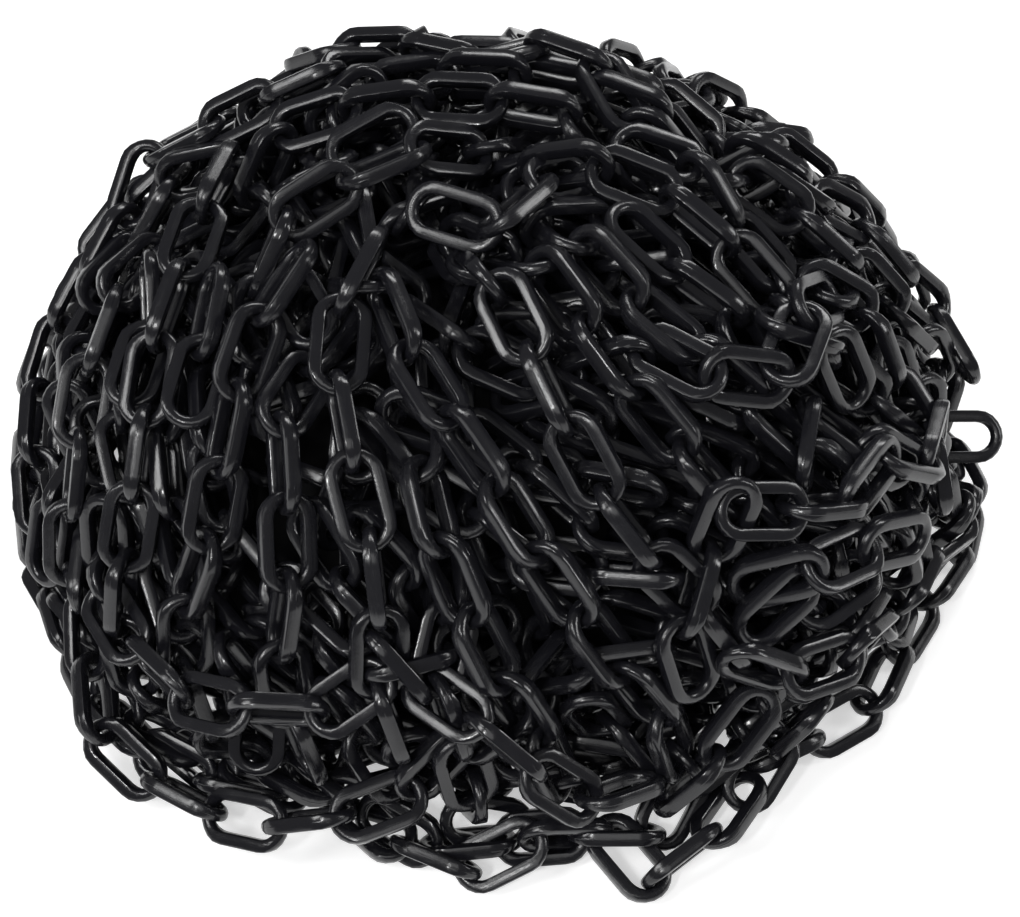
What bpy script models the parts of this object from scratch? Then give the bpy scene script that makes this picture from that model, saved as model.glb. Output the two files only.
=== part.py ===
"""A heap of plastic chain: a plain core for the hidden links, and runs of real links over it."""

import math
import random

import bmesh
import bpy
from mathutils import Matrix, Vector
from mathutils.bvhtree import BVHTree

# The link, in metres: a round wire bent to an oval with straight sides.
WIRE_DIAMETER = 0.006
LINK_LENGTH = 0.042
LINK_WIDTH = 0.024
BOW_RADIUS = (LINK_WIDTH - WIRE_DIAMETER) / 2
BOW_OFFSET = LINK_LENGTH / 2 - LINK_WIDTH / 2
SECTION_SIDES = 6
BOW_SEGMENTS = 3
# A six-sided section has the round wire's area at this radius.
SECTION_RADIUS = 1.10 * WIRE_DIAMETER / 2
# Taut links bite this far into each other where their bows meet, which makes a run one solid.
BITE = 0.0003
PITCH = LINK_LENGTH - WIRE_DIAMETER - 2 * SECTION_RADIUS * math.cos(math.pi / SECTION_SIDES) + BITE

# The heap, in metres: half axes of the core, which the outer links lie on.
CORE_X = 0.200
CORE_Y = 0.180
CORE_Z = 0.188
CORE_SIDES = 36
CORE_RINGS = 9

# How far a link leans from its neighbour's square stance, in degrees.
LEAN_WANDER = 9.0
CURVE_STEPS = 40

# A run is moved out from the core until it just keeps this gap to the core and the other runs.
GAP = 0.0003
SEAT_START = -0.008
OVER_START = 0.0
SEAT_STEP = 0.001
SEAT_STEPS = 45
SEAT_HALVINGS = 5
# A run that crosses others then sinks onto them, one point of its route at a time, by these steps.
SINK_STEPS = (0.003, 0.001)
# Neighbouring points of its route differ by no more than this in their height over the core.
SINK_SLOPE = 0.010

BLACK = (0.012, 0.012, 0.013, 1.0)
CORE_BLACK = (0.006, 0.006, 0.007, 1.0)

# Each run: name, lean of its first link in degrees, the ground its links stand on, and its route.
# A route point is (bearing, rise) on the core, in degrees round the heap from +X and up from the floor,
# or on the floor (bearing, way out from the core in millimetres). A run over others is laid across them.
RUNS = [
    ("left_drape_1", 40, "core", [(150, 44), (161, 37), (172, 29), (182, 22), (192, 18), (201, 10)]),
    ("left_drape_2", 25, "core", [(184, 43), (193, 37), (201, 31), (207, 23), (211, 14), (212, 8)]),
    ("left_drape_3", 60, "core", [
        (158, 57), (178, 56), (192, 53), (202, 47), (211, 41),
        (217, 33), (220, 24), (223, 14), (228, 6),
    ]),
    ("left_drape_4", 35, "core", [
        (204, 68), (212, 61), (220, 53), (226, 45),
        (230, 37), (230, 27), (233, 16), (238, 7),
    ]),
    ("front_drape_1", 50, "core", [(232, 52), (239, 44), (243, 36), (244, 27), (247, 17), (251, 7)]),
    ("front_drape_2", 70, "core", [
        (219, 75), (229, 66), (238, 59), (246, 52), (252, 45),
        (256, 37), (256, 29), (259, 21), (262, 12),
    ]),
    ("front_drape_3", 45, "core", [
        (232, 71), (247, 66), (259, 60), (268, 54), (274, 47),
        (280, 38), (285, 29), (290, 20), (292, 10),
    ]),
    ("front_lower_1", 30, "core", [(263, 44), (267, 37), (271, 29), (276, 19), (279, 8)]),
    ("front_lower_2", 60, "core", [(264, 27), (267, 16), (269, 5)]),
    ("front_drape_4", 20, "core", [
        (273, 74), (280, 66), (284, 58), (287, 50),
        (292, 41), (298, 32), (302, 22), (303, 12),
    ]),
    ("right_drape_1", 50, "core", [
        (292, 76), (296, 69), (299, 61), (302, 53),
        (306, 44), (310, 35), (314, 25), (315, 14),
    ]),
    ("right_drape_2", 65, "core", [
        (314, 76), (312, 69), (316, 60), (319, 51),
        (322, 42), (326, 32), (328, 22), (327, 11),
    ]),
    ("right_lower_1", 40, "core", [(334, 32), (336, 21), (334, 9)]),
    ("right_drape_3", 35, "core", [
        (8, 78), (359, 71), (349, 64), (342, 57), (338, 49),
        (339, 40), (342, 31), (345, 21), (344, 10),
    ]),
    ("right_drape_4", 55, "core", [(14, 60), (6, 52), (1, 43), (359, 34), (2, 24), (0, 12)]),
    ("right_drape_5", 25, "core", [(31, 47), (24, 40), (21, 32), (20, 21), (16, 10)]),
    ("crest_run_1", 45, "core", [(141, 51), (130, 53), (114, 56), (92, 59), (70, 61), (44, 58)]),
    ("crest_run_2", 30, "core", [(150, 62), (135, 69), (115, 74), (86, 77), (57, 76), (28, 71)]),
    ("crest_run_3", 60, "core", [(190, 67), (182, 73), (165, 79), (120, 84)]),
    ("crest_run_4", 40, "core", [(214, 81), (262, 81), (318, 83), (20, 84)]),
    ("crest_run_5", 20, "core", [(122, 65), (97, 68), (70, 69), (46, 66), (26, 62)]),
    ("back_drape_1", 45, "core", [(136, 44), (141, 34), (150, 24), (154, 12)]),
    ("back_drape_2", 20, "core", [(118, 48), (121, 36), (127, 24), (129, 12)]),
    ("back_drape_3", 60, "core", [(101, 50), (100, 38), (104, 26), (105, 12)]),
    ("back_drape_4", 35, "core", [(84, 51), (81, 39), (83, 27), (81, 12)]),
    ("back_drape_5", 50, "core", [(66, 52), (63, 40), (62, 28), (58, 12)]),
    ("back_drape_6", 70, "core", [(49, 49), (45, 38), (42, 26), (38, 12)]),
    ("base_run_left", 45, "floor", [(194, 11), (207, 14), (219, 22), (230, 25), (241, 20), (250, 10)]),
    ("base_run_front", 45, "floor", [(256, 10), (266, 24), (276, 14), (286, 26), (295, 12)]),
    ("base_run_right", 45, "floor", [
        (2, 14), (351, 25), (340, 16), (329, 12),
        (319, 20), (309, 14), (300, 11),
    ]),
    ("base_run_back_left", 45, "floor", [(184, 10), (168, 15), (150, 12)]),
    ("base_run_back", 45, "floor", [(136, 10), (114, 15), (92, 12), (72, 10)]),
    ("base_run_back_right", 45, "floor", [(60, 10), (42, 15), (24, 14), (10, 10)]),
    ("crest_strand", 45, "over", [(120, 56), (107, 62), (92, 64), (77, 68), (58, 68), (44, 63)]),
    ("shoulder_strand", 45, "over", [(163, 40), (154, 43), (150, 50), (143, 55), (132, 58), (118, 62)]),
    ("edge_strand_1", 45, "over", [(14, 47), (10, 40), (9, 31), (3, 23), (355, 18)]),
    ("edge_strand_2", 45, "over", [(326, 13), (335, 11), (344, 9), (353, 8)]),
    ("foot_strand_1", 45, "over", [(219, 11), (226, 6), (234, 4), (242, 5), (250, 8), (257, 12), (263, 16)]),
    ("foot_strand_2", 45, "over", [(227, 19), (235, 17), (243, 19), (249, 24), (253, 30)]),
    ("foot_strand_3", 45, "over", [(268, 24), (275, 19), (281, 14), (288, 10), (294, 9)]),
    ("foot_strand_4", 45, "over", [(300, 10), (308, 11), (316, 8), (323, 5)]),
    ("tangle_strand_1", 45, "over", [(304, 47), (312, 44), (320, 40), (329, 35), (338, 30), (350, 22)]),
    ("tangle_strand_2", 45, "over", [(303, 36), (311, 34), (319, 30), (329, 24)]),
    ("tangle_strand_3", 45, "over", [(298, 27), (307, 25), (316, 21), (322, 16)]),
    ("tangle_strand_4", 45, "over", [(313, 57), (324, 54), (336, 51), (348, 48), (356, 43)]),
]
CORE_LIFT = 0.011
FLOOR_HEIGHT = 0.0099


def plastic(name, colour, roughness):
    material = bpy.data.materials.new(name)
    material.use_nodes = True
    shader = material.node_tree.nodes["Principled BSDF"]
    shader.inputs["Base Color"].default_value = colour
    shader.inputs["Roughness"].default_value = roughness
    shader.inputs["Metallic"].default_value = 0.0
    return material


def add_object(name, mesh, material):
    mesh.materials.append(material)
    made = bpy.data.objects.new(name, mesh)
    bpy.context.scene.collection.objects.link(made)
    return made


def core_point(bearing, rise, lift):
    """A point that far out from the core, and the way out of the core there."""
    turn, up = math.radians(bearing), math.radians(rise)
    point = Vector((
        CORE_X * math.cos(up) * math.cos(turn),
        CORE_Y * math.cos(up) * math.sin(turn),
        CORE_Z * math.sin(up),
    ))
    return point + outward(point) * lift


def outward(point):
    return Vector((point.x / CORE_X**2, point.y / CORE_Y**2, point.z / CORE_Z**2)).normalized()


def smooth_curve(points):
    """Points close together on a smooth curve through the given ones."""
    ends = [2 * points[0] - points[1], *points, 2 * points[-1] - points[-2]]
    curve = []
    for before, start, end, after in zip(ends, ends[1:], ends[2:], ends[3:]):
        for step in range(CURVE_STEPS):
            t = step / CURVE_STEPS
            curve.append(0.5 * (
                2 * start
                + (end - before) * t
                + (2 * before - 5 * start + 4 * end - after) * t**2
                + (3 * start - before - 3 * end + after) * t**3
            ))
    return [*curve, points[-1]]


def joints_along(curve):
    """Where links meet: points on the curve, each one pitch in a straight line from the last."""
    joints = [curve[0]]
    for here, there in zip(curve, curve[1:]):
        while (there - joints[-1]).length >= PITCH:
            near, far = 0.0, 1.0
            for _ in range(30):
                middle = (near + far) / 2
                if (here.lerp(there, middle) - joints[-1]).length < PITCH:
                    near = middle
                else:
                    far = middle
            joints.append(here.lerp(there, far))
    return joints


def link_places(name, lean, ground, route, shifts):
    """The matrix that puts each link of a run in its place. Each point of the route has its own shift out."""
    wander = random.Random(name)
    points = []
    for (bearing, rise), shift in zip(route, shifts):
        if ground == "floor":
            points.append(core_point(bearing, 0, rise / 1000 + shift) + Vector((0, 0, FLOOR_HEIGHT)))
        else:
            points.append(core_point(bearing, rise, CORE_LIFT + shift))
    joints = joints_along(smooth_curve(points))
    places = []
    for i, (start, end) in enumerate(zip(joints, joints[1:])):
        along = (end - start).normalized()
        middle = (start + end) / 2
        stand = Vector((0, 0, 1)) if ground == "floor" else outward(middle)
        turn = lean + 90 * (i % 2) + wander.uniform(-LEAN_WANDER, LEAN_WANDER)
        face = (stand - along * stand.dot(along)).normalized()
        face = Matrix.Rotation(math.radians(turn), 3, along) @ face
        axes = Matrix((along, face.cross(along), face)).transposed()
        places.append(Matrix.Translation(middle) @ axes.to_4x4())
    return places


def link_shape(section_radius):
    """One link lying flat at the origin, its length along X: two spun bows and the sides that bridge them."""
    shape = bmesh.new()
    mitre = math.cos(math.pi / 8)
    centre = Vector((BOW_OFFSET, 0, 0))
    first = -0.75 * math.pi / 2
    section = bmesh.ops.create_circle(shape, segments=SECTION_SIDES, radius=section_radius)["verts"]
    bmesh.ops.scale(shape, verts=section, vec=(1 / mitre, 1, 1))
    bmesh.ops.rotate(shape, verts=section, matrix=Matrix.Rotation(math.pi / 2, 3, "X"))
    bmesh.ops.translate(shape, verts=section, vec=(BOW_RADIUS / mitre, 0, 0))
    bmesh.ops.rotate(shape, verts=section, matrix=Matrix.Rotation(first, 3, "Z"))
    bmesh.ops.translate(shape, verts=section, vec=centre)
    bmesh.ops.spin(
        shape, geom=shape.edges[:], cent=centre, axis=(0, 0, 1), angle=-2 * first, steps=BOW_SEGMENTS,
        use_merge=False, use_duplicate=False,
    )
    bow = shape.verts[:] + shape.edges[:] + shape.faces[:]
    other = [v for v in bmesh.ops.duplicate(shape, geom=bow)["geom"] if isinstance(v, bmesh.types.BMVert)]
    bmesh.ops.rotate(shape, verts=other, matrix=Matrix.Rotation(math.pi, 3, "Z"))
    open_edges = [edge for edge in shape.edges if edge.is_boundary]
    for side in (1, -1):
        ring = [edge for edge in open_edges if edge.verts[0].co.y * side > 0]
        bmesh.ops.bridge_loops(shape, edges=ring)
    bmesh.ops.recalc_face_normals(shape, faces=shape.faces)
    return shape


def links_mesh(name, shape, places):
    joined = bmesh.new()
    for place in places:
        one = bpy.data.meshes.new("one_link")
        shape.to_mesh(one)
        one.transform(place)
        joined.from_mesh(one)
        bpy.data.meshes.remove(one)
    mesh = bpy.data.meshes.new(name)
    joined.to_mesh(mesh)
    joined.free()
    return mesh


def surface_tree(mesh):
    return BVHTree.FromPolygons([v.co for v in mesh.vertices], [p.vertices[:] for p in mesh.polygons])


def places_at(run, shape, shifts):
    """Where a run's links are once it is moved out that far. A run on the floor just touches it."""
    places = link_places(*run, shifts)
    if run[2] == "floor":
        low = min(v.co.z for v in links_mesh("whole", shape, places).vertices)
        places = [Matrix.Translation((0, 0, -low)) @ place for place in places]
    return places


def is_clear(run, shape, fat_shape, laid, shifts):
    tree = surface_tree(links_mesh("fat", fat_shape, places_at(run, shape, shifts)))
    return not any(tree.overlap(other) for other in laid)


def seat(run, shape, fat_shape, laid):
    """Move a run out from the core by whole steps until it is clear of all that is laid, then halve back."""
    def clear(shift):
        return is_clear(run, shape, fat_shape, laid, [shift] * len(run[3]))

    start = OVER_START if run[2] == "over" else SEAT_START
    free = next(start + n * SEAT_STEP for n in range(SEAT_STEPS) if clear(start + n * SEAT_STEP))
    held = free - SEAT_STEP
    for _ in range(SEAT_HALVINGS):
        middle = (free + held) / 2
        if clear(middle):
            free = middle
        else:
            held = middle
    return [free] * len(run[3])


def sink(run, shape, fat_shape, laid, shifts):
    """Lower each point of a run's route in turn until the run lies on what it crosses."""
    for step in SINK_STEPS:
        moved = True
        while moved:
            moved = False
            for i in range(len(shifts)):
                trial = [*shifts[:i], shifts[i] - step, *shifts[i + 1:]]
                steepest = max(abs(a - b) for a, b in zip(trial, trial[1:]))
                if steepest <= SINK_SLOPE and is_clear(run, shape, fat_shape, laid, trial):
                    shifts = trial
                    moved = True
    return shifts


def lay(run, shape, fat_shape, laid):
    """Find a run's place and add it to what is laid."""
    shifts = seat(run, shape, fat_shape, laid)
    if run[2] == "over":
        shifts = sink(run, shape, fat_shape, laid, shifts)
    places = places_at(run, shape, shifts)
    laid.append(surface_tree(links_mesh("laid", shape, places)))
    moved = ", ".join(f"{shift * 1000:.1f}" for shift in sorted(set(shifts)))
    print(f"{run[0]}: {len(places)} links, moved {moved} mm")
    return places


def add_run(run, shape, fat_shape, material, laid):
    """One run of chain. Its first, third and later odd links are joined to the links between them."""
    name = run[0]
    places = lay(run, shape, fat_shape, laid)
    chain = add_object(name, links_mesh(name, shape, places[::2]), material)
    between = add_object(name + "_between", links_mesh(name + "_between", shape, places[1::2]), material)
    between.hide_render = True
    between.display_type = "WIRE"
    join = chain.modifiers.new("Join", "BOOLEAN")
    join.operation = "UNION"
    join.solver = "EXACT"
    join.object = between
    return len(places)


def add_core(material):
    """The dome that stands for the links no one sees: the upper half of a ball, closed by a flat floor."""
    dome = bmesh.new()
    bmesh.ops.create_uvsphere(dome, u_segments=CORE_SIDES, v_segments=2 * CORE_RINGS, radius=1.0)
    below = [v for v in dome.verts if v.co.z < -0.001]
    bmesh.ops.delete(dome, geom=below, context="VERTS")
    bmesh.ops.contextual_create(dome, geom=[edge for edge in dome.edges if edge.is_boundary])
    bmesh.ops.scale(dome, verts=dome.verts, vec=(CORE_X, CORE_Y, CORE_Z))
    bmesh.ops.recalc_face_normals(dome, faces=dome.faces)
    mesh = bpy.data.meshes.new("hidden_links_core")
    dome.to_mesh(mesh)
    dome.free()
    add_object("hidden_links_core", mesh, material)
    return surface_tree(mesh)


def main():
    for old in list(bpy.data.objects):
        bpy.data.objects.remove(old)
    chain_plastic = plastic("chain_plastic", BLACK, 0.35)
    laid = [add_core(plastic("hidden_links", CORE_BLACK, 0.8))]
    shape = link_shape(SECTION_RADIUS)
    fat_shape = link_shape(SECTION_RADIUS + GAP)
    count = sum(add_run(run, shape, fat_shape, chain_plastic, laid) for run in RUNS)
    print(count, "links in", len(RUNS), "runs")


main()
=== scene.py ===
# A dome-shaped heap of loose black plastic chain on a pale floor.
import math
import random

import bmesh
import bpy
import numpy as np
from mathutils import Matrix, Vector


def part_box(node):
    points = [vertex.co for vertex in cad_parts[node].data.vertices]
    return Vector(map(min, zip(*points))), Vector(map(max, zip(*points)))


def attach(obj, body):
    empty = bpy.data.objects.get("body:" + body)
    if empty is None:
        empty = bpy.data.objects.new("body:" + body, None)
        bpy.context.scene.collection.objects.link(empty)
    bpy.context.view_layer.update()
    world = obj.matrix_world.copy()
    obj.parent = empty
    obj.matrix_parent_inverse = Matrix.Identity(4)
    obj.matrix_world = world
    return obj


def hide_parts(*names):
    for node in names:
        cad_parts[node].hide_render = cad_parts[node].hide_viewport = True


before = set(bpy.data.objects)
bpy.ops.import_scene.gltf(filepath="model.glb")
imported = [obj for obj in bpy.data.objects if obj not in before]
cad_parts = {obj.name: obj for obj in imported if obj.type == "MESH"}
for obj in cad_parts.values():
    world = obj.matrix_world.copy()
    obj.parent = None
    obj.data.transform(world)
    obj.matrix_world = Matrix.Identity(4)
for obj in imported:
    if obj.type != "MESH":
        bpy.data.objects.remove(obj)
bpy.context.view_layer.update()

# The link and the heap are those of the part's solids, in metres.
link = {
    "wire": 0.006,
    "length": 0.042,
    "width": 0.024,
    "bite": 0.0003,
    "cadSides": 6,
    "cadRadius": 1.10 * 0.003,
    "sides": 14,
    "bowSteps": 10,
    "flatHalf": 0.0078,  # half the length of a straight side's flat part
    # half of the wire's section from the link's outer edge to its inner edge, as (out, up) in millimetres
    "bow": [
        (2.66, 0.0), (2.44, 1.20), (1.72, 2.14), (0.58, 2.62),
        (-0.72, 2.60), (-1.82, 2.02), (-2.50, 1.12), (-2.76, 0.0),
    ],
    "bar": [
        (2.66, 0.0), (2.66, 2.20), (2.40, 2.80), (1.60, 3.12),
        (-1.34, 3.12), (-2.20, 2.84), (-2.54, 2.30), (-2.54, 0.0),
    ],
    "roundWithin": 60,  # degrees round a bow, from a side, over which the bar's section fades into the bow's
    "fadeOver": 42,
    "sharpFrom": 38,  # degrees between faces
}
link["bowRadius"] = (link["width"] - link["wire"]) / 2
link["bowOffset"] = (link["length"] - link["width"]) / 2
link["pitch"] = (link["length"] - link["wire"]
                 - 2 * link["cadRadius"] * math.cos(math.pi / link["cadSides"]) + link["bite"])

heap = {"core": (0.200, 0.180, 0.188), "lift": 0.011, "floorHeight": 0.0099, "leanWander": 9.0, "curveSteps": 40}

# The runs of the solids: name, lean of the first link, ground, and route over the core, (bearing, rise),
# or round it on the floor, (bearing, way out in millimetres). A run over others lies across them.
runs = [
    ("left_drape_1", 40, "core", [(150, 44), (161, 37), (172, 29), (182, 22), (192, 18), (201, 10)]),
    ("left_drape_2", 25, "core", [(184, 43), (193, 37), (201, 31), (207, 23), (211, 14), (212, 8)]),
    ("left_drape_3", 60, "core", [
        (158, 57), (178, 56), (192, 53), (202, 47), (211, 41),
        (217, 33), (220, 24), (223, 14), (228, 6),
    ]),
    ("left_drape_4", 35, "core", [
        (204, 68), (212, 61), (220, 53), (226, 45),
        (230, 37), (230, 27), (233, 16), (238, 7),
    ]),
    ("front_drape_1", 50, "core", [(232, 52), (239, 44), (243, 36), (244, 27), (247, 17), (251, 7)]),
    ("front_drape_2", 70, "core", [
        (219, 75), (229, 66), (238, 59), (246, 52), (252, 45),
        (256, 37), (256, 29), (259, 21), (262, 12),
    ]),
    ("front_drape_3", 45, "core", [
        (232, 71), (247, 66), (259, 60), (268, 54), (274, 47),
        (280, 38), (285, 29), (290, 20), (292, 10),
    ]),
    ("front_lower_1", 30, "core", [(263, 44), (267, 37), (271, 29), (276, 19), (279, 8)]),
    ("front_lower_2", 60, "core", [(264, 27), (267, 16), (269, 5)]),
    ("front_drape_4", 20, "core", [
        (273, 74), (280, 66), (284, 58), (287, 50),
        (292, 41), (298, 32), (302, 22), (303, 12),
    ]),
    ("right_drape_1", 50, "core", [
        (292, 76), (296, 69), (299, 61), (302, 53),
        (306, 44), (310, 35), (314, 25), (315, 14),
    ]),
    ("right_drape_2", 65, "core", [
        (314, 76), (312, 69), (316, 60), (319, 51),
        (322, 42), (326, 32), (328, 22), (327, 11),
    ]),
    ("right_lower_1", 40, "core", [(334, 32), (336, 21), (334, 9)]),
    ("right_drape_3", 35, "core", [
        (8, 78), (359, 71), (349, 64), (342, 57), (338, 49),
        (339, 40), (342, 31), (345, 21), (344, 10),
    ]),
    ("right_drape_4", 55, "core", [(14, 60), (6, 52), (1, 43), (359, 34), (2, 24), (0, 12)]),
    ("right_drape_5", 25, "core", [(31, 47), (24, 40), (21, 32), (20, 21), (16, 10)]),
    ("crest_run_1", 45, "core", [(141, 51), (130, 53), (114, 56), (92, 59), (70, 61), (44, 58)]),
    ("crest_run_2", 30, "core", [(150, 62), (135, 69), (115, 74), (86, 77), (57, 76), (28, 71)]),
    ("crest_run_3", 60, "core", [(190, 67), (182, 73), (165, 79), (120, 84)]),
    ("crest_run_4", 40, "core", [(214, 81), (262, 81), (318, 83), (20, 84)]),
    ("crest_run_5", 20, "core", [(122, 65), (97, 68), (70, 69), (46, 66), (26, 62)]),
    ("back_drape_1", 45, "core", [(136, 44), (141, 34), (150, 24), (154, 12)]),
    ("back_drape_2", 20, "core", [(118, 48), (121, 36), (127, 24), (129, 12)]),
    ("back_drape_3", 60, "core", [(101, 50), (100, 38), (104, 26), (105, 12)]),
    ("back_drape_4", 35, "core", [(84, 51), (81, 39), (83, 27), (81, 12)]),
    ("back_drape_5", 50, "core", [(66, 52), (63, 40), (62, 28), (58, 12)]),
    ("back_drape_6", 70, "core", [(49, 49), (45, 38), (42, 26), (38, 12)]),
    ("base_run_left", 45, "floor", [(194, 11), (207, 14), (219, 22), (230, 25), (241, 20), (250, 10)]),
    ("base_run_front", 45, "floor", [(256, 10), (266, 24), (276, 14), (286, 26), (295, 12)]),
    ("base_run_right", 45, "floor", [
        (2, 14), (351, 25), (340, 16), (329, 12),
        (319, 20), (309, 14), (300, 11),
    ]),
    ("base_run_back_left", 45, "floor", [(184, 10), (168, 15), (150, 12)]),
    ("base_run_back", 45, "floor", [(136, 10), (114, 15), (92, 12), (72, 10)]),
    ("base_run_back_right", 45, "floor", [(60, 10), (42, 15), (24, 14), (10, 10)]),
    ("crest_strand", 45, "over", [(120, 56), (107, 62), (92, 64), (77, 68), (58, 68), (44, 63)]),
    ("shoulder_strand", 45, "over", [(163, 40), (154, 43), (150, 50), (143, 55), (132, 58), (118, 62)]),
    ("edge_strand_1", 45, "over", [(14, 47), (10, 40), (9, 31), (3, 23), (355, 18)]),
    ("edge_strand_2", 45, "over", [(326, 13), (335, 11), (344, 9), (353, 8)]),
    ("foot_strand_1", 45, "over", [(219, 11), (226, 6), (234, 4), (242, 5), (250, 8), (257, 12), (263, 16)]),
    ("foot_strand_2", 45, "over", [(227, 19), (235, 17), (243, 19), (249, 24), (253, 30)]),
    ("foot_strand_3", 45, "over", [(268, 24), (275, 19), (281, 14), (288, 10), (294, 9)]),
    ("foot_strand_4", 45, "over", [(300, 10), (308, 11), (316, 8), (323, 5)]),
    ("tangle_strand_1", 45, "over", [(304, 47), (312, 44), (320, 40), (329, 35), (338, 30), (350, 22)]),
    ("tangle_strand_2", 45, "over", [(303, 36), (311, 34), (319, 30), (329, 24)]),
    ("tangle_strand_3", 45, "over", [(298, 27), (307, 25), (316, 21), (322, 16)]),
    ("tangle_strand_4", 45, "over", [(313, 57), (324, 54), (336, 51), (348, 48), (356, 43)]),
]


def outward(point):
    a, b, c = heap["core"]
    return Vector((point.x / a**2, point.y / b**2, point.z / c**2)).normalized()


def corePoint(bearing, rise, lift):
    turn, up = math.radians(bearing), math.radians(rise)
    a, b, c = heap["core"]
    point = Vector((a * math.cos(up) * math.cos(turn), b * math.cos(up) * math.sin(turn), c * math.sin(up)))
    return point + outward(point) * lift


def smoothCurve(points):
    ends = [2 * points[0] - points[1], *points, 2 * points[-1] - points[-2]]
    curve = []
    for before, start, end, after in zip(ends, ends[1:], ends[2:], ends[3:]):
        for step in range(heap["curveSteps"]):
            t = step / heap["curveSteps"]
            curve.append(0.5 * (
                2 * start
                + (end - before) * t
                + (2 * before - 5 * start + 4 * end - after) * t**2
                + (3 * start - before - 3 * end + after) * t**3
            ))
    return [*curve, points[-1]]


def jointsAlong(curve):
    pitch = link["pitch"]
    joints = [curve[0]]
    for here, there in zip(curve, curve[1:]):
        while (there - joints[-1]).length >= pitch:
            near, far = 0.0, 1.0
            for _ in range(30):
                middle = (near + far) / 2
                if (here.lerp(there, middle) - joints[-1]).length < pitch:
                    near = middle
                else:
                    far = middle
            joints.append(here.lerp(there, far))
    return joints


def linkAxes(along, stand, turn):
    face = (stand - along * stand.dot(along)).normalized()
    face = Matrix.Rotation(math.radians(turn), 3, along) @ face
    return Matrix((along, face.cross(along), face)).transposed()


def runPlaces(name, lean, ground, route, shift):
    wander = random.Random(name)
    if ground == "floor":
        rise = Vector((0, 0, heap["floorHeight"]))
        points = [corePoint(bearing, 0, out / 1000 + shift) + rise for bearing, out in route]
    else:
        points = [corePoint(bearing, rise, heap["lift"] + shift) for bearing, rise in route]
    joints = jointsAlong(smoothCurve(points))
    places = []
    for i, (start, end) in enumerate(zip(joints, joints[1:])):
        along = (end - start).normalized()
        middle = (start + end) / 2
        stand = Vector((0, 0, 1)) if ground == "floor" else outward(middle)
        turn = lean + 90 * (i % 2) + wander.uniform(-heap["leanWander"], heap["leanWander"])
        places.append(Matrix.Translation(middle) @ linkAxes(along, stand, turn).to_4x4())
    return places


def cadCorners():
    # the solids' link: eight six-sided sections, enough to find a run's box
    corners = []
    mitre = math.cos(math.pi / 8)
    for end in (1, -1):
        for ring in range(4):
            turn = math.radians(-67.5 + 45 * ring)
            for side in range(link["cadSides"]):
                around = math.tau * side / link["cadSides"]
                out = (link["bowRadius"] - link["cadRadius"] * math.sin(around)) / mitre
                x = link["bowOffset"] + out * math.cos(turn)
                corners.append((end * x, end * out * math.sin(turn), link["cadRadius"] * math.cos(around)))
    return np.array(corners)


def boxOf(places, corners):
    solid = np.concatenate([corners @ np.array(p.to_3x3()).T + np.array(p.translation) for p in places])
    return solid.min(0), solid.max(0)


def seatedRun(run, corners):
    # the run is moved out until its box is that of its solid, by half millimetres and then more finely
    low, high = (np.array(side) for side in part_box(run[0]))

    def miss(shift):
        places = runPlaces(*run, shift)
        a, b = boxOf(places, corners)
        lift = low[2] - a[2] if run[2] == "floor" else 0.0
        places = [Matrix.Translation((0, 0, lift)) @ p for p in places]
        a[2] += lift
        b[2] += lift
        return np.abs(np.concatenate([a - low, b - high])).sum(), places

    best = min((miss(s / 1000)[0], s / 1000) for s in np.arange(-8, 28, 0.5))[1]
    step = 0.00025
    while step > 1e-6:
        best = min((miss(best + k * step)[0], best + k * step) for k in (-1, 0, 1))[1]
        step /= 2
    error, places = miss(best)
    if error > 1e-5 and run[2] != "over":
        print(f"{run[0]}: box error {error * 1000:.3f} mm")
    return places


# The links between and under the runs, in millimetres. Each layer: name, lift of its links, least distance
# between strands, turn from the runs' direction, wander of the direction, most links in a strand. A run's
# ends go on below the others, at the lifts of the dive.
filling = {
    "seed": 7,
    "layers": [
        ("tangle", 21.0, 21.0, 70, 75, 2),
        ("outer", 9.0, 16.0, 0, 16, 12),
        ("second", -6.0, 17.0, 35, 45, 9),
        ("third", -20.0, 19.0, -30, 70, 9),
        ("inner", -33.0, 21.0, 60, 70, 9),
    ],
    "seeds": 1500,  # places where a layer's strands may start
    "lowest": 10.0,
    "guideReach": 38.0,  # how far off a run still turns a strand its way
    "waveLength": 60.0,  # of the wander
    "sharpestTurn": 32.0,  # degrees from one link to the next
    "veer": 0.35,  # how far to one side a run's end may go on
    "lean": 12,  # degrees by which a link isn't square to the last one
    "within": {"tangle": ((-62, -14), (4, 42))},  # bearings and rises that a layer is kept to
    # strands of the solids that aren't drawn to the heap, and a run's end that stays free
    "loose": {"edge_strand_2", "foot_strand_1", "foot_strand_2", "foot_strand_3", "foot_strand_4"},
    "freeEnds": {"edge_strand_2": 1},
    # joints of the strand that lies loose before the front foot
    "before": [
        (-84, -160, 18), (-60, -179, 15), (-36, -197, 12), (-9, -211, 10), (20, -203, 13),
        (45, -187, 16), (66, -208, 12), (90, -190, 14), (108, -166, 18),
    ],
    # joints of the strand that fills the foot at the left
    "foot": [
        (-193, -53, 15), (-184, -82, 14), (-171, -110, 12), (-152, -134, 12), (-127, -152, 12),
        (-99, -165, 13), (-69, -172, 15), (-40, -179, 14),
    ],
    # the link that stands out at the right, and the joints from it into the heap
    "standsOut": ((206, -20, 55), [(190.7, -20, 55), (173, -33, 77), (150, -48, 90), (132, -52, 66)]),
    "dive": {"core": (-2.0, -12.0, -16.0), "floor": (-2.0, -12.0, -16.0), "over": (10.0, -2.0, -12.0)},
}
core = np.array(heap["core"]) * 1000  # in millimetres, as all that follows up to the meshes
pitch = link["pitch"] * 1000


def unit(ways):
    return ways / np.linalg.norm(ways, axis=-1, keepdims=True)


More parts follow.
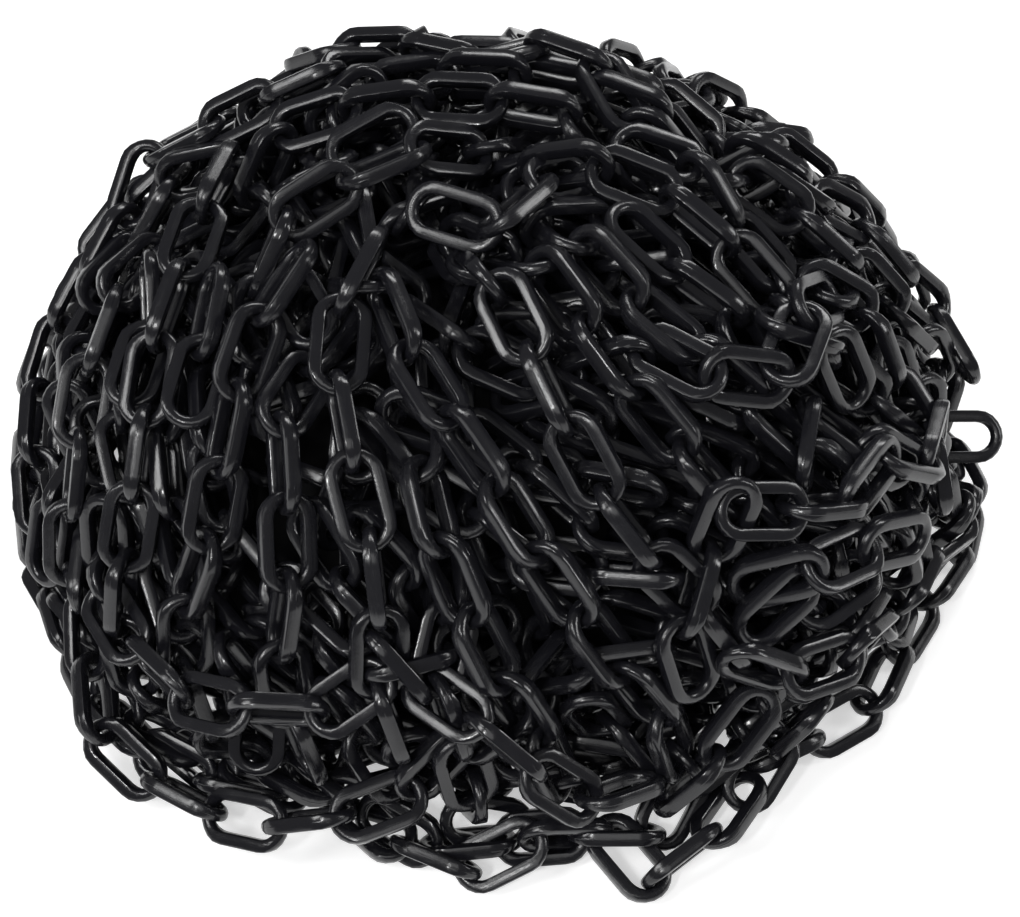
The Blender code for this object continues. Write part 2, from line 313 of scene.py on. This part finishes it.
def normals(points):
    return unit(points / core**2)


def ontoShell(point, lift):
    # the point at that lift over the core, straight out from its middle
    q = point / (core + lift)
    q = q / np.linalg.norm(q)
    foot = core * q
    placed = foot + normals(foot) * lift
    placed[2] = max(placed[2], filling["lowest"])
    return placed


def stepOn(point, heading, lift):
    # the next joint, one pitch away
    for _ in range(4):
        there = ontoShell(point + heading * pitch, lift)
        heading = (there - point) / np.linalg.norm(there - point)
    return point + heading * pitch, heading


def flowAt(point, guides, twist):
    # the direction in which the runs near a point lie, turned about the way out
    spots, ways = guides
    near = np.exp(-((spots - point)**2).sum(1) / (2 * filling["guideReach"]**2)) + 1e-9
    spread = (ways * near[:, None]).T @ ways
    out = normals(point)
    flat = np.eye(3) - np.outer(out, out)
    along = np.linalg.eigh(flat @ spread @ flat)[1][:, -1]
    along = flat @ along
    along /= np.linalg.norm(along)
    across = np.cross(out, along)
    return along * math.cos(twist) + across * math.sin(twist)


def waves(seed):
    # a smooth random number from -1 to 1 for each place
    rng = np.random.default_rng(seed)
    ways = rng.normal(size=(6, 3)) / filling["waveLength"]
    phases = rng.uniform(0, math.tau, 6)
    return lambda p: float(np.sin(ways @ p + phases).sum() / 3.0)


def samplePoints(start, end):
    # places along a link, to keep other strands away from
    return [start + (end - start) * t for t in (0.1, 0.35, 0.65, 0.9)]


def growStrand(seed, layer, guides, wave, taken):
    # a strand grows both ways from its seed until it comes near another
    _, lift, spacing, turn, wander, most = layer
    grown = []
    ownSamples = []
    for way in (1, -1):
        point = seed
        heading = None
        side = []
        for _ in range(most):
            twist = math.radians(turn + wander * wave(point))
            flow = flowAt(point, guides, twist) * way
            if heading is not None:
                if flow @ heading < 0:
                    flow = -flow
                bend = math.degrees(math.acos(max(-1, min(1, flow @ heading))))
                if bend > filling["sharpestTurn"]:
                    flow = heading + (flow - heading) * filling["sharpestTurn"] / bend
                    flow /= np.linalg.norm(flow)
            there, heading = stepOn(point, flow, lift)
            probe = np.array(samplePoints(point, there))
            old = np.array(taken + ownSamples[:-4] if len(side) else taken + ownSamples[4:])
            if len(old) and (((probe[:, None] - old[None])**2).sum(2).min() < spacing**2):
                break
            side.append(there)
            ownSamples += list(probe)
            point = there
        grown.append(side)
    joints = grown[1][::-1] + [seed] + grown[0]
    return joints, ownSamples


def inside(q, bearings, rises):
    bearing, rise = math.degrees(math.atan2(q[1], q[0])), math.degrees(math.asin(q[2]))
    return bearings[0] <= bearing <= bearings[1] and rises[0] <= rise <= rises[1]


def fillLayer(layer, guides, taken, rng):
    name, lift, spacing = layer[:3]
    wave = waves(filling["seed"] + len(name))
    strands = []
    taken = list(taken)
    for _ in range(filling["seeds"]):
        q = rng.normal(size=3)
        q /= np.linalg.norm(q)
        q[2] = abs(q[2])
        foot = core * q
        seed = foot + normals(foot) * lift
        if seed[2] < filling["lowest"] or not inside(q, *filling["within"].get(name, ((-180, 180), (0, 90)))):
            continue
        if len(taken) and ((np.array(taken) - seed)**2).sum(1).min() < spacing**2:
            continue
        joints, samples = growStrand(seed, layer, guides, wave, taken)
        if len(joints) < 3:  # a lone link would float
            continue
        taken += samples
        strands.append(joints)
    print(f"{name}: {len(strands)} strands, {sum(len(s) - 1 for s in strands)} links")
    return strands


# How the loose links settle: each is a ring of small balls, pushed apart where they overlap. In millimetres.
settling = {
    "balls": 24,
    "reach": 5.7,  # between the middles of two balls that touch
    "lookout": 3.0,  # how much further off balls are listed as near, every few steps
    "relist": 8,
    "steps": 900,
    "pullSteps": 450,
    # by kind: pull inwards at each step, and lift over the core that the links stay within
    "pull": {
        "laid": 0.12, "loose": 0.0, "tangle": 0.08, "outer": 0.04,
        "second": -0.04, "third": -0.04, "inner": -0.03,
    },
    "shell": {
        "laid": 31.0, "loose": 46.0, "tangle": 27.0, "outer": 24.0,
        "second": 12.0, "third": 0.0, "inner": -12.0,
    },
    "slack": 2.5,  # play between the ends of neighbours
    "inertia": 169.0,  # a link's, for a mass of one
    "floor": 3.1,  # height of the lowest balls' middles
    "hollow": -44.0,  # lift over the core of the empty middle
    "shellStiff": 100,
    "hollowStiff": 80,
    "mostPush": 3,  # out of the middle or a clear ball, at once
    # balls of space that the loose links keep out of, as (middle, radius): so that the link that stands out and
    # the run on the floor at the right are seen whole, and two flat sides at the top don't merge
    "clear": [
        ((222, -20, 55), 26), ((212, -35, 74), 22), ((207, -48, 89), 21), ((202, -60, 105), 19),
        ((224, -40, 22), 21), ((213, -75, 24), 21), ((199, -103, 24), 21), ((179, -127, 22), 21),
        ((152, -143, 22), 21), ((206, -90, 44), 20), ((190, -117, 44), 20), ((168, -140, 42), 20),
        ((-61, -26, 184), 16),
    ],
    "shove": 1.2,  # share of each overlap that one step takes away, and its growth once the pull ends
    "lateShove": 1.5,
    "crowd": 0.75,  # how far many touches at once soften each
    "mostShift": 1.5,  # at one step, and turn in radians
    "mostTurn": 0.12,
    "deepest": 1.7,  # a loose link that cuts deeper than this is left out
}


def ringOfBalls():
    # points spread evenly along the middle of the wire
    half, r = link["bowOffset"] * 1000, link["bowRadius"] * 1000
    whole = 4 * half + math.tau * r
    points = []
    for i in range(settling["balls"]):
        s = (i + 0.5) / settling["balls"] * whole
        if s < 2 * half:
            points.append((s - half, -r, 0))
        elif s < 2 * half + math.pi * r:
            turn = (s - 2 * half) / r - math.pi / 2
            points.append((half + r * math.cos(turn), r * math.sin(turn), 0))
        elif s < 4 * half + math.pi * r:
            points.append((half - (s - 2 * half - math.pi * r), r, 0))
        else:
            turn = (s - 4 * half - math.pi * r) / r + math.pi / 2
            points.append((-half + r * math.cos(turn), r * math.sin(turn), 0))
    return np.array(points, dtype=float)


def nearPairs(points, owner, reach):
    # pairs of balls of different links within reach, found through a grid of cells
    cell = np.floor(points / reach).astype(np.int64)
    cell -= cell.min(0) - 1
    size = cell.max(0) + 2
    key = (cell[:, 0] * size[1] + cell[:, 1]) * size[2] + cell[:, 2]
    order = np.argsort(key, kind="stable")
    sortedKey = key[order]
    found = []
    for dx in (0, 1):
        for dy in (-1, 0, 1):
            for dz in (-1, 0, 1):
                if (dx, dy, dz) < (0, 0, 0):
                    continue
                shift = (dx * size[1] + dy) * size[2] + dz
                low = np.searchsorted(sortedKey, sortedKey + shift, "left")
                high = np.searchsorted(sortedKey, sortedKey + shift, "right")
                if shift == 0:
                    low = np.arange(len(order)) + 1
                count = np.maximum(high - low, 0)
                total = int(count.sum())
                if not total:
                    continue
                first = np.repeat(np.arange(len(order)), count)
                offset = np.arange(total) - np.repeat(np.cumsum(count) - count, count)
                second = np.repeat(low, count) + offset
                a, b = order[first], order[second]
                keep = owner[a] != owner[b]
                a, b = a[keep], b[keep]
                close = ((points[a] - points[b])**2).sum(1) < reach**2
                found.append(np.stack([a[close], b[close]]))
    return np.concatenate(found, axis=1)


def squareUp(rot):
    x = rot[:, :, 0] / np.linalg.norm(rot[:, :, 0], axis=1)[:, None]
    y = rot[:, :, 1] - x * (x * rot[:, :, 1]).sum(1)[:, None]
    y /= np.linalg.norm(y, axis=1)[:, None]
    return np.stack([x, y, np.cross(x, y)], 2)


def atMost(ways, most):
    length = np.sqrt((ways**2).sum(1))[:, None]
    return ways * np.minimum(1, most / np.maximum(length, 1e-9))


class Pushes:
    # all pushes on the links in one step, with the turns that they cause
    def __init__(self, free):
        self.free = free
        self.links, self.moves, self.turns = [], [], []

    def give(self, links, way, turn, push):
        self.links.append(links)
        self.moves.append(way * push[:, None])
        self.turns.append(turn * push[:, None] / settling["inertia"])

    def ease(self, turn):
        # how far a link's ball gives way to a push, as it shifts and turns
        return 1 + (turn**2).sum(1) / settling["inertia"]

    def apart(self, a, b, armsA, armsB, way, amount):
        # the first links go along the way and the second against it
        turnA, turnB = np.cross(armsA, way), np.cross(armsB, -way)
        both = self.free[a] * self.ease(turnA) + self.free[b] * self.ease(turnB)
        push = amount / np.maximum(both, 1e-6)
        self.give(a, way, turnA, push)
        self.give(b, -way, turnB, push)

    def back(self, links, arms, way, amount):
        turn = np.cross(arms, way)
        self.give(links, way, turn, amount / self.ease(turn))

    def sums(self):
        # how many pushes each link gets, its shift and its turn
        at, links = np.concatenate(self.links), len(self.free)
        count = np.maximum(np.bincount(at, minlength=links), 1)
        shift, spin = (
            np.stack([np.bincount(at, part[:, axis], links) for axis in range(3)], 1)
            for part in (np.concatenate(self.moves), np.concatenate(self.turns))
        )
        return count, shift, spin


def limits(points, shell, hollow):
    # how far each ball is beyond the floor, the outer shell, the hollow middle and the space kept clear,
    # with the push back
    most = settling["mostPush"]
    yield (
        settling["floor"] - points[:, 2],
        lambda at, depth: (np.tile([0, 0, 1.0], (len(at), 1)), depth),
    )
    yield (
        ((points / shell)**2).sum(1) - 1,
        lambda at, depth: (-normals(at), depth * settling["shellStiff"]),
    )
    yield (
        1 - ((points / hollow)**2).sum(1),
        lambda at, depth: (normals(at), np.minimum(depth * settling["hollowStiff"], most)),
    )
    for middle, radius in settling["clear"]:
        yield (
            radius - np.sqrt(((points - middle)**2).sum(1)),
            lambda at, depth, middle=middle: (unit(at - middle), np.minimum(depth, most)),
        )


def settle(pos, rot, fixed, joined, pull, cover):
    balls = ringOfBalls()
    each = len(balls)
    owner = np.repeat(np.arange(len(pos)), each)
    free = np.where(fixed, 0.0, 1.0)
    reach = settling["reach"]
    half = np.array([pitch / 2, 0, 0])
    a, b = joined[:, 0], joined[:, 1]
    shell = core + np.repeat(cover, each)[:, None]
    hollow = core + settling["hollow"]
    for step in range(settling["steps"]):
        arms = np.einsum("nij,kj->nki", rot, balls).reshape(-1, 3)
        points = np.repeat(pos, each, axis=0) + arms
        if step % settling["relist"] == 0:
            pairs = nearPairs(points, owner, reach + settling["lookout"])
        pushes = Pushes(free)

        # balls that touch are pushed apart
        i, j = pairs
        gap = points[i] - points[j]
        far = np.sqrt((gap**2).sum(1)) + 1e-9
        hit = far < reach
        i, j, gap, far = i[hit], j[hit], gap[hit], far[hit]
        pushes.apart(owner[i], owner[j], arms[i], arms[j], gap / far[:, None], reach - far)

        # the ends of neighbours stay within the slack
        endA, endB = rot[a] @ half, -(rot[b] @ half)
        gap = pos[b] + endB - pos[a] - endA
        far = np.sqrt((gap**2).sum(1)) + 1e-9
        wide = far > settling["slack"]
        way = gap[wide] / far[wide, None]
        pushes.apart(a[wide], b[wide], endA[wide], endB[wide], way, far[wide] - settling["slack"])

        for depth, pushBack in limits(points, shell, hollow):
            low = np.nonzero((depth > 0) & (free[owner] > 0))[0]
            if len(low):
                pushes.back(owner[low], arms[low], *pushBack(points[low], depth[low]))

        count, shift, spin = pushes.sums()
        shove = settling["shove"] * (settling["lateShove"] if step >= settling["pullSteps"] else 1)
        share = (shove / count**settling["crowd"] * free)[:, None]
        shift = shift * share
        spin = atMost(spin * share, settling["mostTurn"])
        if step < settling["pullSteps"]:
            shift -= normals(pos) * (pull * free)[:, None]
        pos = pos + atMost(shift, settling["mostShift"])
        rot = rot + np.cross(spin[:, None, :], rot.transpose(0, 2, 1)).transpose(0, 2, 1)
        if step % 10 == 9:
            rot = squareUp(rot)
    print(len(i), "touches")
    return pos, squareUp(rot)


def cutsDeep(pos, rot, movable):
    # loose links that still cut into others once the heap has settled, the worst first
    balls = ringOfBalls()
    owner = np.repeat(np.arange(len(pos)), len(balls))
    points = np.repeat(pos, len(balls), axis=0) + np.einsum("nij,kj->nki", rot, balls).reshape(-1, 3)
    i, j = nearPairs(points, owner, settling["reach"] - settling["deepest"])
    depth = settling["reach"] - np.sqrt(((points[i] - points[j])**2).sum(1))
    a, b = owner[i], owner[j]
    dropped = np.zeros(len(pos), bool)
    while True:
        left = ~(dropped[a] | dropped[b])
        load = np.bincount(a[left], depth[left], len(pos)) + np.bincount(b[left], depth[left], len(pos))
        load[~movable] = 0
        if load.max() == 0:
            return dropped
        dropped[load.argmax()] = True


class Chains:
    # all links of the heap as they are laid: middle, axes, kind, their piece, and which are joined
    def __init__(self):
        self.pos, self.rot, self.kind, self.piece, self.joined = [], [], [], [], []

    def add(self, pos, axes, kind, piece, before=None):
        self.pos.append(pos)
        self.rot.append(axes)
        self.kind.append(kind)
        self.piece.append(piece)
        if before is not None:
            self.joined.append((before, len(self.pos) - 1))
        return len(self.pos) - 1

    def addStrand(self, joints, face, kind, rng, before=None, way=1, piece=None):
        # each link stands square to the last one, give or take the lean
        joints = [np.array(joint, float) for joint in joints]
        for start, end in zip(joints, joints[1:]):
            along = (end - start) / np.linalg.norm(end - start)
            face = face - along * (face @ along)
            face /= np.linalg.norm(face)
            side = np.cross(along, face)
            turn = math.radians(90 + rng.normal() * filling["lean"])
            face = face * math.cos(turn) + side * math.sin(turn)
            axes = np.stack([along, np.cross(face, along), face], 1) * np.array([way, way, 1])
            made = self.add((start + end) / 2, axes, kind, piece)
            if before is not None:
                self.joined.append((before, made) if way == 1 else (made, before))
            before = made


def pieceOf(run):
    # the scene's piece that a run's links belong to
    return "over_strands" if run[2] == "over" else run[0].rsplit("_", 1)[0]


def layRuns(chains, placed):
    # the runs' links, and what the loose strands need of them: their spots and ways, and where they end
    spots, ways, taken, ends = [], [], [], []
    for run, places in zip(runs, placed):
        before = None
        for place in places:
            pos = np.array(place.translation) * 1000
            axes = np.array(place.to_3x3())
            kind = "still" if run[2] != "over" else "loose" if run[0] in filling["loose"] else "laid"
            before = chains.add(pos, axes, kind, pieceOf(run), before)
            if run[2] == "core":
                half = axes[:, 0] * pitch / 2
                spots.append(pos)
                ways.append(axes[:, 0])
                taken += samplePoints(pos - half, pos + half)
        ends += [(before - len(places) + 1, -1, run), (before, 1, run)]
    return (np.array(spots), np.array(ways)), taken, ends


def goOnBelow(chains, ends, rng):
    # a run's ends dive beneath its neighbours
    for index, way, run in ends:
        if filling["freeEnds"].get(run[0]) == way:
            continue
        axes = chains.rot[index]
        point = chains.pos[index] + axes[:, 0] * way * pitch / 2
        heading = axes[:, 0] * way
        across = np.cross(normals(point), heading)
        heading = heading + across * rng.uniform(-filling["veer"], filling["veer"])
        heading /= np.linalg.norm(heading)
        joints = [point]
        for lift in filling["dive"][run[2]]:
            there, heading = stepOn(joints[-1], heading, lift)
            joints.append(there)
        chains.addStrand(joints, axes[:, 2], "outer", rng, index, way)


def standOut(chains, rng):
    # one link stands out at the right, its face to the camera
    middle, joints = filling["standsOut"]
    across = np.array([0, math.sin(math.radians(view["elevation"])), math.cos(math.radians(view["elevation"]))])
    along = np.array([-1.0, 0, 0])
    axes = np.stack([along, across, np.cross(along, across)], 1)
    index = chains.add(np.array(middle, float), axes, "still", "loose_ends")
    chains.addStrand(joints, across, "outer", rng, index)


def layChains(placed, rng):
    chains = Chains()
    guides, taken, ends = layRuns(chains, placed)
    goOnBelow(chains, ends, rng)
    standOut(chains, rng)
    leaning = np.array([0.5, 0, 0.8])
    chains.addStrand(filling["before"], leaning, "loose", rng, piece="loose_ends")
    for layer in filling["layers"]:
        used = taken if layer[0] == "outer" else []
        for joints in fillLayer(layer, guides, used, rng):
            start, end = joints[0], joints[1]
            along = end - start
            out = normals(start)
            lean = rng.uniform(0, math.pi)
            across = np.cross(out, along / np.linalg.norm(along))
            face = out * math.cos(lean) + across * math.sin(lean)
            chains.addStrand(joints, face, layer[0], rng)
    chains.addStrand(filling["foot"], leaning, "loose", rng, piece="loose_ends")
    return chains


def addObject(name, data):
    made = bpy.data.objects.new(name, data)
    bpy.context.scene.collection.objects.link(made)
    return made


def meshFrom(name, shape):
    mesh = bpy.data.meshes.new(name)
    shape.to_mesh(mesh)
    shape.free()
    return mesh


def linkShape():
    # a bow spun from one ring of the wire, its twin, and the straight sides bridged between them
    shape = bmesh.new()
    r = link["wire"] / 2
    centre = Vector((link["bowOffset"], 0, 0))
    ring = bmesh.ops.create_circle(shape, segments=link["sides"], radius=r)["verts"]
    bmesh.ops.rotate(shape, verts=ring, matrix=Matrix.Rotation(math.pi / 2, 3, "Z"))
    bmesh.ops.rotate(shape, verts=ring, matrix=Matrix.Rotation(math.pi / 2, 3, "X"))
    bmesh.ops.translate(shape, verts=ring, vec=(link["bowRadius"], 0, 0))
    bmesh.ops.rotate(shape, verts=ring, matrix=Matrix.Rotation(-math.pi / 2, 3, "Z"))
    bmesh.ops.translate(shape, verts=ring, vec=centre)
    bmesh.ops.spin(shape, geom=shape.edges[:], cent=centre, axis=(0, 0, 1), angle=math.pi,
                   steps=link["bowSteps"], use_merge=False, use_duplicate=False)
    bow = shape.verts[:] + shape.edges[:] + shape.faces[:]
    other = [v for v in bmesh.ops.duplicate(shape, geom=bow)["geom"] if isinstance(v, bmesh.types.BMVert)]
    bmesh.ops.rotate(shape, verts=other, matrix=Matrix.Rotation(math.pi, 3, "Z"))
    openEdges = [edge for edge in shape.edges if edge.is_boundary]
    for side in (1, -1):
        bmesh.ops.bridge_loops(shape, edges=[e for e in openEdges if e.verts[0].co.y * side > 0])
    for x in (-link["flatHalf"], link["flatHalf"]):
        bmesh.ops.bisect_plane(shape, geom=shape.verts[:] + shape.edges[:] + shape.faces[:],
                               plane_co=(x, 0, 0), plane_no=(1, 0, 0))
    for v in shape.verts:  # the round wire takes its moulded section
        middle = Vector((max(-link["bowOffset"], min(link["bowOffset"], v.co.x)), 0, 0))
        away = Vector((v.co.x, v.co.y, 0)) - middle
        place = round(math.atan2(abs(v.co.z), away.length - link["bowRadius"]) / math.tau * link["sides"])
        turned = math.degrees(math.asin(min(1, abs(away.x) / away.length)))
        flat = max(0.0, min(1.0, (link["roundWithin"] - turned) / link["fadeOver"]))
        out, up = (Vector(link["bow"][place]).lerp(Vector(link["bar"][place]), flat)) / 1000
        v.co = middle + away.normalized() * (link["bowRadius"] + out) + Vector((0, 0, math.copysign(up, v.co.z)))
    bmesh.ops.recalc_face_normals(shape, faces=shape.faces)
    return meshFrom("link_shape", shape)


def chainPiece(name, shape, pos, rot, material, rng):
    joined = bmesh.new()
    for p, r in zip(pos, rot):
        one = shape.copy()
        one.transform(Matrix.Translation(Vector(p / 1000)) @ Matrix(r.tolist()).to_4x4())
        joined.from_mesh(one)
        bpy.data.meshes.remove(one)
    mesh = meshFrom(name, joined)
    each = len(shape.vertices)
    local = np.empty(each * 3)
    shape.vertices.foreach_get("co", local)
    place = mesh.attributes.new("linkPoint", "FLOAT_VECTOR", "POINT")
    place.data.foreach_set("vector", np.tile(local * 1000, len(pos)))
    tone = mesh.attributes.new("linkTone", "FLOAT", "POINT")
    tone.data.foreach_set("value", np.repeat(rng.random(len(pos)), each))
    mesh.shade_smooth()
    mesh.set_sharp_from_angle(angle=math.radians(link["sharpFrom"]))
    mesh.materials.append(material)
    piece = addObject(name, mesh)
    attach(piece, "root")
    return piece


class Socket:
    # a shader value that can be written in sums
    def __init__(self, tree, socket):
        self.tree, self.socket = tree, socket

    def math(self, operation, *others):
        made = self.tree.nodes.new("ShaderNodeMath")
        made.operation = operation
        for slot, value in enumerate((self, *others)):
            plug(self.tree, made.inputs[slot], value)
        return Socket(self.tree, made.outputs[0])

    def __add__(self, other):
        return self.math("ADD", other)

    def __mul__(self, other):
        return self.math("MULTIPLY", other)

    __radd__ = __add__
    __rmul__ = __mul__

    def ramp(self, low, high, a=0.0, b=1.0):
        return node(self.tree, "ShaderNodeMapRange", {"clamp": True}, Value=self,
                    **{"From Min": low, "From Max": high, "To Min": a, "To Max": b})["Result"]


def plug(tree, target, value):
    if isinstance(value, Socket):
        tree.links.new(value.socket, target)
    else:
        target.default_value = value


def node(tree, kind, settings=None, **values):
    made = tree.nodes.new(kind)
    for key, value in (settings or {}).items():
        setattr(made, key, value)
    for key, value in values.items():
        plug(tree, made.inputs[key], value)
    return {out.name: Socket(tree, out) for out in made.outputs if not out.is_unavailable}


plastic = {
    "black": (0.0074, 0.0074, 0.0096, 1),
    "worn": (0.0112, 0.0112, 0.0142, 1),
    "roughness": 0.12,
    "uneven": 0.08,  # how far the roughness differs from link to link
    "bump": 0.35,
    "bumpDepth": 0.0004,
}


def newMaterial(name):
    material = bpy.data.materials.new(name)
    material.use_nodes = True
    return material, material.node_tree, material.node_tree.nodes["Principled BSDF"]


def chainPlastic():
    material, tree, shader = newMaterial("chain_plastic_moulded")
    tone = node(tree, "ShaderNodeAttribute", {"attribute_name": "linkTone"})["Fac"]
    place = node(tree, "ShaderNodeAttribute", {"attribute_name": "linkPoint"})["Vector"]
    spot = node(tree, "ShaderNodeTexCoord")["Object"]
    grain = node(tree, "ShaderNodeTexNoise", None, Vector=spot, Scale=900.0, Detail=3.0, Roughness=0.6)["Fac"]
    cloud = node(tree, "ShaderNodeTexNoise", None, Vector=spot, Scale=70.0, Detail=4.0, Roughness=0.6)["Fac"]
    parts = node(tree, "ShaderNodeSeparateXYZ", None, Vector=place)
    along = parts["X"] * 0.06 + tone * 90
    drawn = node(tree, "ShaderNodeCombineXYZ", None, X=along, Y=parts["Y"] * 1.1, Z=parts["Z"] * 1.1)["Vector"]
    streak = node(tree, "ShaderNodeTexNoise", None, Vector=drawn, Scale=2.2, Detail=2.0)["Fac"]
    bow = parts["X"].math("ABSOLUTE").ramp(8.0, 10.0)
    seam = parts["Z"].math("ABSOLUTE").ramp(0.10, 0.34, 1.0, 0.0) * bow  # the mould's, round the bows only
    roughness = plastic["roughness"] + tone * plastic["uneven"] + cloud.ramp(0.45, 0.75, 0.0, 0.10)
    roughness = roughness + grain.ramp(0.5, 0.8, 0.0, 0.05) + streak.ramp(0.5, 0.7, 0.0, 0.08)
    plug(tree, shader.inputs["Roughness"], roughness)
    shade = cloud.ramp(0.5, 0.8) * 0.5 + tone * 0.3
    colour = node(tree, "ShaderNodeMix", {"data_type": "RGBA"}, Factor=shade, A=plastic["black"], B=plastic["worn"])
    plug(tree, shader.inputs["Base Color"], colour["Result"])
    height = seam * 0.6 + grain * 0.12 + cloud * 0.5 + streak * 0.25
    bump = node(tree, "ShaderNodeBump", None, Strength=plastic["bump"], Distance=plastic["bumpDepth"], Height=height)
    plug(tree, shader.inputs["Normal"], bump["Normal"])
    return material


hidden = {
    "around": 48,
    "up": 28,
    "gap": 0.003,  # to the empty middle that the loose links keep out of
    "flare": 0.11,  # how much wider it is at the foot
    "colour": (0.004, 0.004, 0.0045, 1),
}


def hiddenPlastic():
    material, tree, shader = newMaterial("hidden_links_dull")
    spot = node(tree, "ShaderNodeTexCoord")["Object"]
    lumps = node(tree, "ShaderNodeTexNoise", None, Vector=spot, Scale=40.0, Detail=2.0)["Fac"]
    shader.inputs["Base Color"].default_value = hidden["colour"]
    shader.inputs["Specular IOR Level"].default_value = 0.2
    plug(tree, shader.inputs["Roughness"], lumps.ramp(0.3, 0.7, 0.7, 0.95))
    return material


def hiddenLinks(material):
    # the dark middle, far under the links that show
    dome = bmesh.new()
    bmesh.ops.create_uvsphere(dome, u_segments=hidden["around"], v_segments=hidden["up"], radius=1.0)
    bmesh.ops.delete(dome, geom=[v for v in dome.verts if v.co.z < -0.001], context="VERTS")
    bmesh.ops.contextual_create(dome, geom=[edge for edge in dome.edges if edge.is_boundary])
    a, b, c = (side + settling["hollow"] / 1000 - hidden["gap"] for side in heap["core"])
    bmesh.ops.scale(dome, verts=dome.verts, vec=(a, b, c))
    for v in dome.verts:
        wider = 1 + hidden["flare"] * (1 - v.co.z / c)**3
        v.co.x *= wider
        v.co.y *= wider
    bmesh.ops.recalc_face_normals(dome, faces=dome.faces)
    mesh = meshFrom("hidden_links", dome)
    mesh.shade_smooth()
    mesh.materials.append(material)
    piece = addObject("hidden_links", mesh)
    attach(piece, "root")
    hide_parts("hidden_links_core")


view = {
    "elevation": 53.0,
    "distance": 1.0,
    # in pixels: the lens, the picture's width, and how far the picture is shifted
    "focal": 2140.0,
    "width": 1020,
    "right": 21,
    "up": 17,
}


def addCamera():
    data = bpy.data.cameras.new("camera")
    data.sensor_width = 36.0
    data.sensor_fit = "HORIZONTAL"
    data.lens = view["focal"] / view["width"] * data.sensor_width
    data.shift_x = view["right"] / view["width"]
    data.shift_y = view["up"] / view["width"]
    data.clip_start = 0.01
    camera = addObject("camera", data)
    rise = math.radians(view["elevation"])
    camera.location = (0, -view["distance"] * math.cos(rise), view["distance"] * math.sin(rise))
    camera.rotation_euler = (math.pi / 2 - rise, 0, 0)
    bpy.context.scene.camera = camera


studio = {
    "world": 0.18,
    "floor": (0.9, 0.9, 0.9, 1),
    "floorHalf": 6.0,
    "glow": 0.48,  # of the floor, so that it stays white
    "aim": (0, 0, 0.1),
    # name, place, size, watts
    "lamps": [
        ("key", (-1.1, -0.6, 1.4), (0.45, 0.9), 12),
        ("back", (0.3, 1.1, 1.4), (1.1, 0.4), 13),
        ("side", (1.4, -0.2, 0.9), (0.25, 0.8), 6),
        ("front", (-0.2, -1.5, 1.9), (1.6, 1.2), 9),
        ("spark", (-0.45, -0.93, 1.18), (0.1, 0.2), 4.5),
    ],
}


def addStudio():
    plane = bmesh.new()
    bmesh.ops.create_grid(plane, x_segments=1, y_segments=1, size=studio["floorHalf"])
    mesh = meshFrom("floor", plane)
    material, tree, shader = newMaterial("floor_paint")
    shader.inputs["Base Color"].default_value = studio["floor"]
    shader.inputs["Roughness"].default_value = 0.7
    shader.inputs["Emission Color"].default_value = (1, 1, 1, 1)
    shader.inputs["Emission Strength"].default_value = studio["glow"]
    mesh.materials.append(material)
    floor = addObject("floor", mesh)
    world = bpy.data.worlds.new("studio")
    bpy.context.scene.world = world
    world.use_nodes = True
    background = world.node_tree.nodes["Background"]
    background.inputs["Color"].default_value = (1, 1, 1, 1)
    background.inputs["Strength"].default_value = studio["world"]
    for name, place, size, watts in studio["lamps"]:
        data = bpy.data.lights.new(name, "AREA")
        data.shape = "RECTANGLE"
        data.size, data.size_y = size
        data.energy = watts
        lamp = addObject(name, data)
        lamp.location = place
        lamp.rotation_euler = (Vector(studio["aim"]) - Vector(place)).to_track_quat("-Z", "Y").to_euler()


def settledLinks(shape, rng):
    # each link's piece, middle and axes, once the loose ones have settled
    corners = cadCorners()
    placed = [seatedRun(run, corners) for run in runs]
    print(sum(len(p) for p in placed), "links placed")
    chains = layChains(placed, rng)
    pos, rot, kind = np.array(chains.pos), np.array(chains.rot), np.array(chains.kind)
    print(len(pos), "links laid")
    pull = np.array([settling["pull"].get(name, 0.0) for name in kind])
    cover = np.array([settling["shell"].get(name, 0.0) for name in kind])
    pos, rot = settle(pos, rot, kind == "still", np.array(chains.joined), pull, cover)
    dropped = cutsDeep(pos, rot, np.isin(kind, [layer[0] for layer in filling["layers"]]))
    print("settled,", dropped.sum(), "links left out")
    names = [
        name or f"{layer}_links_{'front' if p[1] < 0 else 'back'}"
        for name, layer, p in zip(chains.piece, kind, pos)
    ]
    names, pos, rot = np.array(names)[~dropped], pos[~dropped], rot[~dropped]
    corners = np.array([v.co for v in shape.vertices]) * 1000
    lowest = pos[:, 2] + np.einsum("nj,kj->nk", rot[:, 2], corners).min(1)
    pos[:, 2] += np.maximum(-lowest, 0)  # no link dips into the floor
    return names, pos, rot


def trianglesOf(mesh):
    return sum(len(p.vertices) - 2 for p in mesh.polygons)


def main():
    rng = np.random.default_rng(filling["seed"])
    shape = linkShape()
    print(len(shape.vertices), "vertices,", trianglesOf(shape), "triangles a link")
    names, pos, rot = settledLinks(shape, rng)
    material = chainPlastic()
    triangles = 0
    for name in sorted(set(names)):
        mine = names == name
        piece = chainPiece(name, shape, pos[mine], rot[mine], material, rng)
        replaced = [run[0] for run in runs if pieceOf(run) == name]
        if replaced:
            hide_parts(*replaced)
        triangles += trianglesOf(piece.data)
        print(name, mine.sum(), "links")
    print(triangles, "triangles in all")
    bpy.data.meshes.remove(shape)
    hiddenLinks(hiddenPlastic())
    addCamera()
    addStudio()
    bpy.context.scene.view_settings.view_transform = "Standard"


main()
